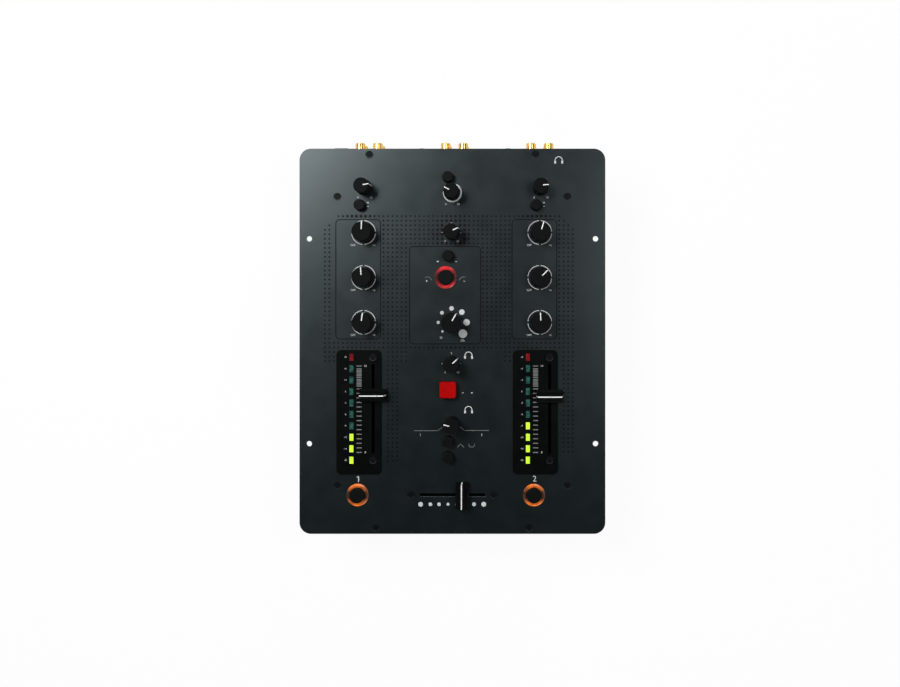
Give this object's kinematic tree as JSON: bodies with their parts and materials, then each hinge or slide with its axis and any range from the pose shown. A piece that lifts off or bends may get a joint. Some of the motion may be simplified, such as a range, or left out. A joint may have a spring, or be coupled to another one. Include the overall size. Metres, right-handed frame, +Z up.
{
  "type": "two-channel audio mixer",
  "caption": "Flat tabletop audio mixer in a folded steel case with rotary knobs, push buttons, channel faders, a crossfader and rear sockets.",
  "frame": {"origin": "middle of the whole object in plan, on the plane under its feet", "axes": "+Z up out of the control panel, +Y to the rear sockets, +X to the right as the user sees it"},
  "size_m": [0.254, 0.3286, 0.0831],
  "materials": {
    "panel_paint": "satin charcoal powder coat with a faint green tint",
    "case_paint": "satin black powder coat",
    "plate_black": "smooth black paint",
    "knob_black": "fine moulded texture",
    "cap_black": "fine moulded texture",
    "button_black": "smooth moulding",
    "button_red": "smooth translucent moulding",
    "ring_red": "clear lens lit from below",
    "ring_amber": "clear lens lit from below",
    "light_red": "clear lens, unlit",
    "light_green": "clear lens, unlit",
    "light_lit": "clear lens, lit",
    "screw_black": "black oxide",
    "steel": "plated",
    "board": "laminate",
    "foot_rubber": "matt",
    "gold": "gold plated",
    "socket_black": "moulded",
    "insulator": "moulded"
  },
  "bodies": {
    "chassis": {"top_panel": "panel_paint", "chassis_tray": "case_paint", "rear_panel": "case_paint", "control_board": "board", "rear_board": "board", "pot_bodies": "steel", "bushing_nuts": "steel", "switch_bodies": "socket_black", "fader_plate_left": "plate_black", "fader_plate_right": "plate_black", "fader_frames": "steel", "meter_lights_peak": "light_red", "meter_lights_idle": "light_green", "meter_lights_lit": "light_lit", "ring_lens_red": "ring_red", "ring_lenses_amber": "ring_amber", "panel_screws": "screw_black", "fader_screws": "screw_black", "rear_screws": "screw_black", "rubber_feet": "foot_rubber", "foot_screws": "steel", "rca_blocks": "socket_black", "rca_shells": "gold", "rca_insulators": "insulator", "xlr_shells": "steel", "xlr_pins": "gold", "phone_jacks": "socket_black", "ground_screws": "steel", "dc_inlet": "socket_black", "rocker_frame": "socket_black"},
    "knob_level_left": {"knob_level_left": "knob_black"},
    "knob_level_right": {"knob_level_right": "knob_black"},
    "knob_master": {"knob_master": "knob_black"},
    "knob_monitor": {"knob_monitor": "knob_black"},
    "knob_high_left": {"knob_high_left": "knob_black"},
    "knob_mid_left": {"knob_mid_left": "knob_black"},
    "knob_low_left": {"knob_low_left": "knob_black"},
    "knob_high_right": {"knob_high_right": "knob_black"},
    "knob_mid_right": {"knob_mid_right": "knob_black"},
    "knob_low_right": {"knob_low_right": "knob_black"},
    "knob_frequency": {"knob_frequency": "knob_black"},
    "knob_phones_level": {"knob_phones_level": "knob_black"},
    "knob_cue_mix": {"knob_cue_mix": "knob_black"},
    "button_input_left": {"button_input_left": "button_black"},
    "button_input_right": {"button_input_right": "button_black"},
    "button_effects_loop": {"button_effects_loop": "button_black"},
    "button_resonance": {"button_resonance": "button_black"},
    "button_fader_curve": {"button_fader_curve": "button_black"},
    "button_meter_mode": {"button_meter_mode": "button_black"},
    "button_cue_master": {"button_cue_master": "button_red"},
    "button_filter_type": {"button_filter_type": "button_black"},
    "button_filter_left": {"button_filter_left": "button_black"},
    "button_filter_right": {"button_filter_right": "button_black"},
    "fader_left": {"fader_left_cap": "cap_black", "fader_left_lever": "steel"},
    "fader_right": {"fader_right_cap": "cap_black", "fader_right_lever": "steel"},
    "crossfader": {"crossfader_cap": "cap_black", "crossfader_lever": "steel"},
    "power_rocker": {"power_rocker": "button_black"}
  },
  "joints": [
    {"name": "turn_level_left", "type": "hinge", "parent": "chassis", "child": "knob_level_left", "pos_m": [-0.0732, 0.12335, 0.066], "axis": [0, 0, 1], "range_deg": [-71, 229]},
    {"name": "turn_level_right", "type": "hinge", "parent": "chassis", "child": "knob_level_right", "pos_m": [0.0732, 0.12335, 0.066], "axis": [0, 0, 1], "range_deg": [-64, 236]},
    {"name": "turn_master", "type": "hinge", "parent": "chassis", "child": "knob_master", "pos_m": [0, 0.11915, 0.066], "axis": [0, 0, 1], "range_deg": [-214, 86]},
    {"name": "turn_monitor", "type": "hinge", "parent": "chassis", "child": "knob_monitor", "pos_m": [0, 0.08605, 0.066], "axis": [0, 0, 1], "range_deg": [-85.5, 214.5]},
    {"name": "turn_high_left", "type": "hinge", "parent": "chassis", "child": "knob_high_left", "pos_m": [-0.0732, 0.08605, 0.066], "axis": [0, 0, 1], "range_deg": [-147, 153]},
    {"name": "turn_mid_left", "type": "hinge", "parent": "chassis", "child": "knob_mid_left", "pos_m": [-0.0732, 0.04875, 0.066], "axis": [0, 0, 1], "range_deg": [-153, 147]},
    {"name": "turn_low_left", "type": "hinge", "parent": "chassis", "child": "knob_low_left", "pos_m": [-0.0732, 0.01145, 0.066], "axis": [0, 0, 1], "range_deg": [-142, 158]},
    {"name": "turn_high_right", "type": "hinge", "parent": "chassis", "child": "knob_high_right", "pos_m": [0.0732, 0.08605, 0.066], "axis": [0, 0, 1], "range_deg": [-133, 167]},
    {"name": "turn_mid_right", "type": "hinge", "parent": "chassis", "child": "knob_mid_right", "pos_m": [0.0732, 0.04875, 0.066], "axis": [0, 0, 1], "range_deg": [-105, 195]},
    {"name": "turn_low_right", "type": "hinge", "parent": "chassis", "child": "knob_low_right", "pos_m": [0.0732, 0.01145, 0.066], "axis": [0, 0, 1], "range_deg": [-153, 147]},
    {"name": "turn_frequency", "type": "hinge", "parent": "chassis", "child": "knob_frequency", "pos_m": [0, 0.01145, 0.066], "axis": [0, 0, 1], "range_deg": [-121, 179]},
    {"name": "turn_phones_level", "type": "hinge", "parent": "chassis", "child": "knob_phones_level", "pos_m": [0, -0.02285, 0.066], "axis": [0, 0, 1], "range_deg": [-103, 197]},
    {"name": "turn_cue_mix", "type": "hinge", "parent": "chassis", "child": "knob_cue_mix", "pos_m": [0, -0.07295, 0.066], "axis": [0, 0, 1], "range_deg": [-226, 74]},
    {"name": "press_input_left", "type": "slide", "parent": "chassis", "child": "button_input_left", "axis": [0, 0, 1], "range_m": [-0.002, 0], "stiffness_N_per_m": 400},
    {"name": "press_input_right", "type": "slide", "parent": "chassis", "child": "button_input_right", "axis": [0, 0, 1], "range_m": [-0.002, 0], "stiffness_N_per_m": 400},
    {"name": "press_effects_loop", "type": "slide", "parent": "chassis", "child": "button_effects_loop", "axis": [0, 0, 1], "range_m": [-0.002, 0], "stiffness_N_per_m": 400},
    {"name": "press_resonance", "type": "slide", "parent": "chassis", "child": "button_resonance", "axis": [0, 0, 1], "range_m": [-0.002, 0], "stiffness_N_per_m": 400},
    {"name": "press_fader_curve", "type": "slide", "parent": "chassis", "child": "button_fader_curve", "axis": [0, 0, 1], "range_m": [-0.002, 0], "stiffness_N_per_m": 400},
    {"name": "press_meter_mode", "type": "slide", "parent": "chassis", "child": "button_meter_mode", "axis": [0, 0, 1], "range_m": [-0.002, 0], "stiffness_N_per_m": 400},
    {"name": "press_cue_master", "type": "slide", "parent": "chassis", "child": "button_cue_master", "axis": [0, 0, 1], "range_m": [-0.002, 0], "stiffness_N_per_m": 400},
    {"name": "press_filter_type", "type": "slide", "parent": "chassis", "child": "button_filter_type", "axis": [0, 0, 1], "range_m": [-0.002, 0], "stiffness_N_per_m": 400},
    {"name": "press_filter_left", "type": "slide", "parent": "chassis", "child": "button_filter_left", "axis": [0, 0, 1], "range_m": [-0.002, 0], "stiffness_N_per_m": 400},
    {"name": "press_filter_right", "type": "slide", "parent": "chassis", "child": "button_filter_right", "axis": [0, 0, 1], "range_m": [-0.002, 0], "stiffness_N_per_m": 400},
    {"name": "slide_fader_left", "type": "slide", "parent": "chassis", "child": "fader_left", "axis": [0, 1, 0], "range_m": [-0.0415, 0.0185]},
    {"name": "slide_fader_right", "type": "slide", "parent": "chassis", "child": "fader_right", "axis": [0, 1, 0], "range_m": [-0.0406, 0.0194]},
    {"name": "slide_crossfader", "type": "slide", "parent": "chassis", "child": "crossfader", "axis": [1, 0, 0], "range_m": [-0.0307, 0.0143]},
    {"name": "rock_power", "type": "hinge", "parent": "chassis", "child": "power_rocker", "pos_m": [-0.0972, 0.15535, 0.0475], "axis": [1, 0, 0], "range_deg": [-24, 0]}
  ]
}
